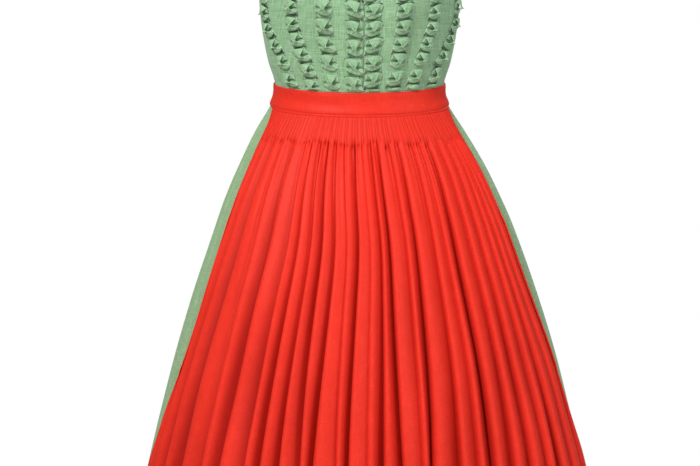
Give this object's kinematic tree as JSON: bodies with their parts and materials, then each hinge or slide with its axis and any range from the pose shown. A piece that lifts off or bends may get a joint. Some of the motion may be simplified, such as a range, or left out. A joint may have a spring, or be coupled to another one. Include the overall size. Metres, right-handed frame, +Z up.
{
  "type": "dirndl",
  "caption": "Sleeveless dirndl in its worn shape: ruched bodice, full gathered skirt and a gathered apron tied in a bow at the back.",
  "frame": {"origin": "middle of the wearer's waist, level with the bodice's waist seam at the sides", "axes": "+Z up towards the shoulders, -Y to the front, +X to the wearer's left"},
  "size_m": [0.7358, 0.6006, 1.1186],
  "materials": {
    "bodice_cloth": "sage green linen-look plain weave with fine slubs, matt",
    "ruche_cloth": "the bodice's sage green cloth, cut in strips, pleated and pinched",
    "skirt_cloth": "sage green plain weave, matt, gathered",
    "apron_cloth": "coral red cotton sateen, soft sheen, smocked and gathered",
    "band_cloth": "coral red cotton sateen, folded double and pressed"
  },
  "bodies": {
    "root": {"bodice_front_left": "bodice_cloth", "bodice_front_right": "bodice_cloth", "bodice_side_left": "bodice_cloth", "bodice_side_right": "bodice_cloth", "bodice_back": "bodice_cloth", "ruche_left_1": "ruche_cloth", "ruche_left_2": "ruche_cloth", "ruche_left_3": "ruche_cloth", "ruche_left_4": "ruche_cloth", "ruche_right_1": "ruche_cloth", "ruche_right_2": "ruche_cloth", "ruche_right_3": "ruche_cloth", "ruche_right_4": "ruche_cloth", "skirt_front": "skirt_cloth", "skirt_back": "skirt_cloth", "apron_panel": "apron_cloth", "apron_waistband": "band_cloth", "apron_tie_left": "band_cloth", "apron_tie_right": "band_cloth", "bow_knot": "band_cloth", "bow_loop_left": "band_cloth", "bow_loop_right": "band_cloth", "bow_tail_left": "band_cloth", "bow_tail_right": "band_cloth"}
  },
  "joints": []
}
